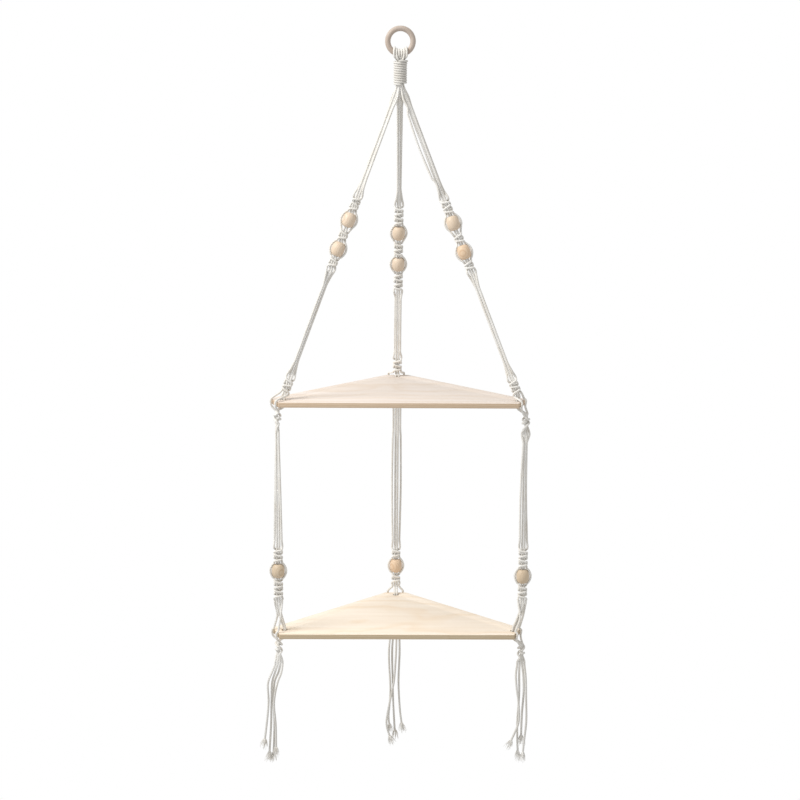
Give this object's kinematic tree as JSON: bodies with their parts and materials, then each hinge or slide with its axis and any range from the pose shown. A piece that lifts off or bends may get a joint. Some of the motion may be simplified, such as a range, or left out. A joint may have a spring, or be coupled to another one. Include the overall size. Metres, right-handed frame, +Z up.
{
  "type": "hanging rope shelf",
  "caption": "Triangular wooden boards hung one above the other from a wooden ring by knotted cotton cords with beads and tassels",
  "frame": {"origin": "Where the hook bears on the ring: the middle of the inside of the ring's top.", "axes": "+Z is up, +X is to the right along the boards' long front edge, and +Y points from that edge to the boards' apex. The ring lies in the XZ plane."},
  "size_m": [0.4561, 0.2396, 1.296],
  "materials": {
    "ring_wood": "smooth sanded, bare",
    "board_wood": "smooth sanded pine, bare",
    "bead_wood": "smooth turned, waxed",
    "cord": "twisted natural cotton"
  },
  "bodies": {
    "ring": {"wooden_ring": "ring_wood"},
    "upper_tier": {"gathering_wrap": "cord", "folded_cord_1": "cord", "folded_cord_2": "cord", "folded_cord_3": "cord", "folded_cord_4": "cord", "folded_cord_5": "cord", "folded_cord_6": "cord", "upper_shelf": "board_wood"},
    "bead_upper_left": {"upper_bead_left": "bead_wood"},
    "bead_middle_left": {"middle_bead_left": "bead_wood"},
    "bead_upper_right": {"upper_bead_right": "bead_wood"},
    "bead_middle_right": {"middle_bead_right": "bead_wood"},
    "bead_upper_apex": {"upper_bead_apex": "bead_wood"},
    "bead_middle_apex": {"middle_bead_apex": "bead_wood"},
    "leg_left": {"lower_leg_left_left": "cord", "lower_leg_left_right": "cord", "lower_leg_left_front": "cord", "lower_leg_left_back": "cord"},
    "leg_right": {"lower_leg_right_left": "cord", "lower_leg_right_right": "cord", "lower_leg_right_front": "cord", "lower_leg_right_back": "cord"},
    "leg_apex": {"lower_leg_apex_left": "cord", "lower_leg_apex_right": "cord", "lower_leg_apex_front": "cord", "lower_leg_apex_back": "cord"},
    "bead_lower_left": {"lower_bead_left": "bead_wood"},
    "bead_lower_right": {"lower_bead_right": "bead_wood"},
    "bead_lower_apex": {"lower_bead_apex": "bead_wood"},
    "lower_tier": {"lower_shelf": "board_wood", "corner_cord_left_left": "cord", "corner_cord_left_right": "cord", "corner_cord_left_front": "cord", "corner_cord_left_back": "cord", "corner_cord_right_left": "cord", "corner_cord_right_right": "cord", "corner_cord_right_front": "cord", "corner_cord_right_back": "cord", "corner_cord_apex_left": "cord", "corner_cord_apex_right": "cord", "corner_cord_apex_front": "cord", "corner_cord_apex_back": "cord"},
    "tassel_left": {"tassel_left_1": "cord", "tassel_left_2": "cord", "tassel_left_3": "cord", "tassel_left_4": "cord"},
    "tassel_right": {"tassel_right_1": "cord", "tassel_right_2": "cord", "tassel_right_3": "cord", "tassel_right_4": "cord"},
    "tassel_apex": {"tassel_apex_1": "cord", "tassel_apex_2": "cord", "tassel_apex_3": "cord", "tassel_apex_4": "cord"}
  },
  "joints": [
    {"name": "swing_at_ring", "type": "hinge", "parent": "ring", "child": "upper_tier", "pos_m": [0, 0, -0.0365], "axis": [1, 0, 0], "range_deg": [-15, 15]},
    {"name": "sway_left", "type": "hinge", "parent": "upper_tier", "child": "leg_left", "pos_m": [-0.20063, -0.06655, -0.6547], "axis": [1, 0, 0], "range_deg": [-12, 12]},
    {"name": "sway_right", "type": "hinge", "parent": "upper_tier", "child": "leg_right", "pos_m": [0.21173, -0.06655, -0.6547], "axis": [1, 0, 0], "range_deg": [-12, 12]},
    {"name": "sway_apex", "type": "hinge", "parent": "upper_tier", "child": "leg_apex", "pos_m": [0, 0.14451, -0.6942], "axis": [1, 0, 0], "range_deg": [-12, 12]},
    {"name": "lower_tier_level", "type": "hinge", "parent": "leg_left", "child": "lower_tier", "pos_m": [-0.20063, -0.06655, -0.9467], "axis": [1, 0, 0], "range_deg": [-12, 12]},
    {"name": "tassel_left_swing", "type": "hinge", "parent": "lower_tier", "child": "tassel_left", "pos_m": [-0.20063, -0.06655, -1.0565], "axis": [1, 0, 0], "range_deg": [-25, 25]},
    {"name": "tassel_right_swing", "type": "hinge", "parent": "lower_tier", "child": "tassel_right", "pos_m": [0.21173, -0.06655, -1.0565], "axis": [1, 0, 0], "range_deg": [-25, 25]},
    {"name": "tassel_apex_swing", "type": "hinge", "parent": "lower_tier", "child": "tassel_apex", "pos_m": [0, 0.14451, -1.0565], "axis": [1, 0, 0], "range_deg": [-25, 25]},
    {"name": "upper_left_bead_spin", "type": "hinge", "parent": "upper_tier", "child": "bead_upper_left", "pos_m": [-0.08285, -0.02676, -0.30427], "axis": [-0.3471, -0.1093, -0.9314], "continuous": true},
    {"name": "middle_left_bead_spin", "type": "hinge", "parent": "upper_tier", "child": "bead_middle_left", "pos_m": [-0.10046, -0.0323, -0.35153], "axis": [-0.3471, -0.1093, -0.9314], "continuous": true},
    {"name": "upper_right_bead_spin", "type": "hinge", "parent": "upper_tier", "child": "bead_upper_right", "pos_m": [0.0881, -0.02878, -0.30828], "axis": [0.3609, -0.1152, -0.9255], "continuous": true},
    {"name": "middle_right_bead_spin", "type": "hinge", "parent": "upper_tier", "child": "bead_middle_right", "pos_m": [0.1064, -0.03462, -0.35523], "axis": [0.3609, -0.1152, -0.9255], "continuous": true},
    {"name": "upper_apex_bead_spin", "type": "hinge", "parent": "upper_tier", "child": "bead_upper_apex", "pos_m": [0, 0.06777, -0.33811], "axis": [0, 0.2519, -0.9677], "continuous": true},
    {"name": "middle_apex_bead_spin", "type": "hinge", "parent": "upper_tier", "child": "bead_middle_apex", "pos_m": [0, 0.08211, -0.39321], "axis": [0, 0.2519, -0.9677], "continuous": true},
    {"name": "lower_left_bead_spin", "type": "hinge", "parent": "leg_left", "child": "bead_lower_left", "pos_m": [-0.20063, -0.06655, -0.89267], "axis": [0, 0, -1], "continuous": true},
    {"name": "lower_right_bead_spin", "type": "hinge", "parent": "leg_right", "child": "bead_lower_right", "pos_m": [0.21173, -0.06655, -0.90087], "axis": [0, 0, -1], "continuous": true},
    {"name": "lower_apex_bead_spin", "type": "hinge", "parent": "leg_apex", "child": "bead_lower_apex", "pos_m": [0, 0.14451, -0.94857], "axis": [0, 0, -1], "continuous": true}
  ],
  "couplings": [
    {"joint": "sway_right", "follows": "sway_left", "ratio": 1},
    {"joint": "sway_apex", "follows": "sway_left", "ratio": 1},
    {"joint": "lower_tier_level", "follows": "sway_left", "ratio": -1}
  ]
}
